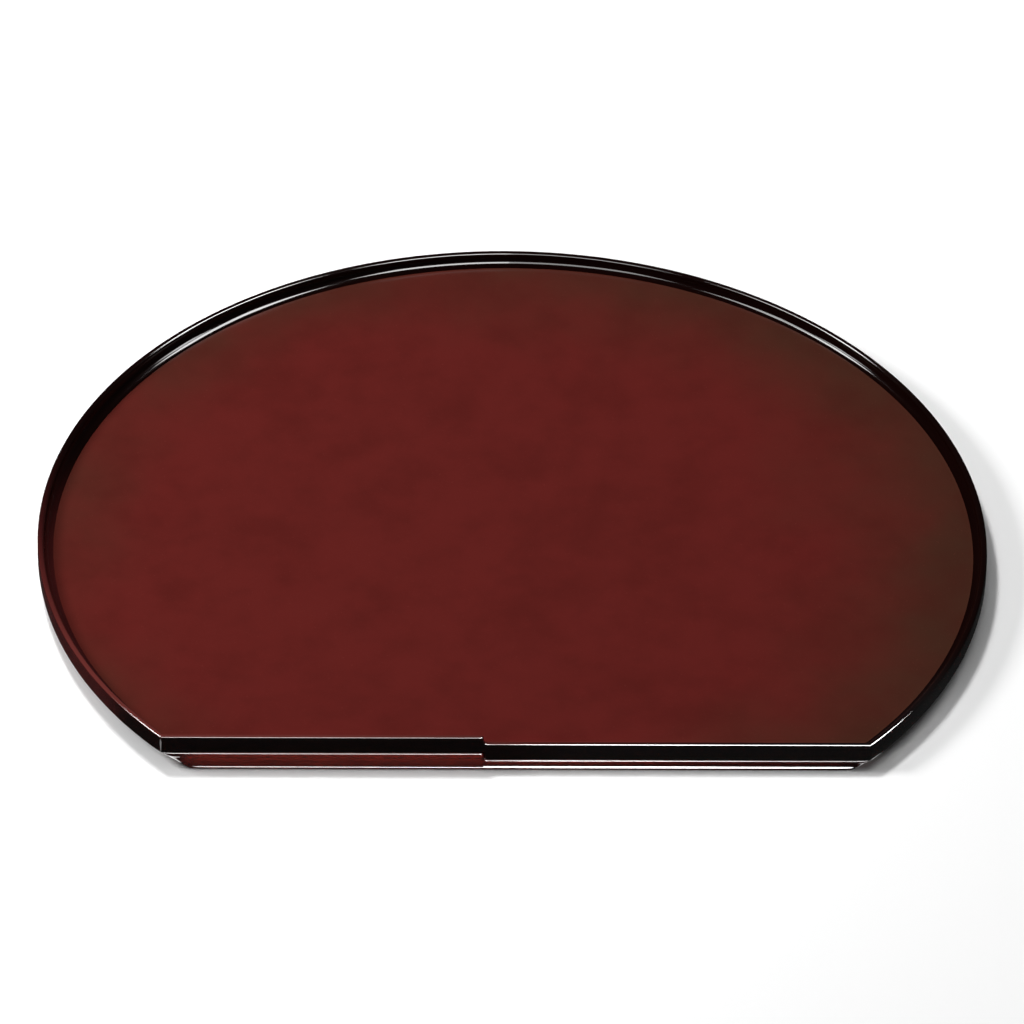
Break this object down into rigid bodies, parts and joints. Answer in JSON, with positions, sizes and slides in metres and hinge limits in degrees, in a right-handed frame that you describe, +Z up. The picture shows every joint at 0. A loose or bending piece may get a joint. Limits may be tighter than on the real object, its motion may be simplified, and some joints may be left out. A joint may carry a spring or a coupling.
{
  "type": "half-moon lacquer tray",
  "caption": "Shallow half-moon wooden tray in dark red lacquer, with a low black rim on the curve and a straight front edge that steps down from left to right.",
  "frame": {"origin": "middle of the tray's footprint box, on the surface it stands on", "axes": "+X to the right along the straight front edge, +Y to the back of the curve, +Z up"},
  "size_m": [0.36, 0.304, 0.0145],
  "materials": {
    "floor_lacquer": "clear red-brown lacquer over a red ground on a wooden board, soft satin gloss, cloudy darker patches towards the rim",
    "rim_lacquer": "near-black gloss lacquer on wood, edges polished bright, the inside face rubbed through to red-brown",
    "foot_lacquer": "dark red gloss lacquer on wood",
    "bare_wood": "plain planed hardwood, hidden inside the joints",
    "bamboo": "smoked bamboo pegs, trimmed flush"
  },
  "bodies": {
    "root": {"floor_panel": "floor_lacquer", "rim_hoop": "rim_lacquer", "front_rail_left": "rim_lacquer", "front_rail_right": "rim_lacquer", "base_hoop": "foot_lacquer", "base_rail": "foot_lacquer", "corner_spline_left": "bare_wood", "corner_spline_right": "bare_wood", "step_dowel": "bare_wood", "batten_left": "foot_lacquer", "batten_right": "foot_lacquer", "rim_pegs": "bamboo", "rail_pegs": "bamboo", "batten_pegs": "bamboo"}
  },
  "joints": []
}
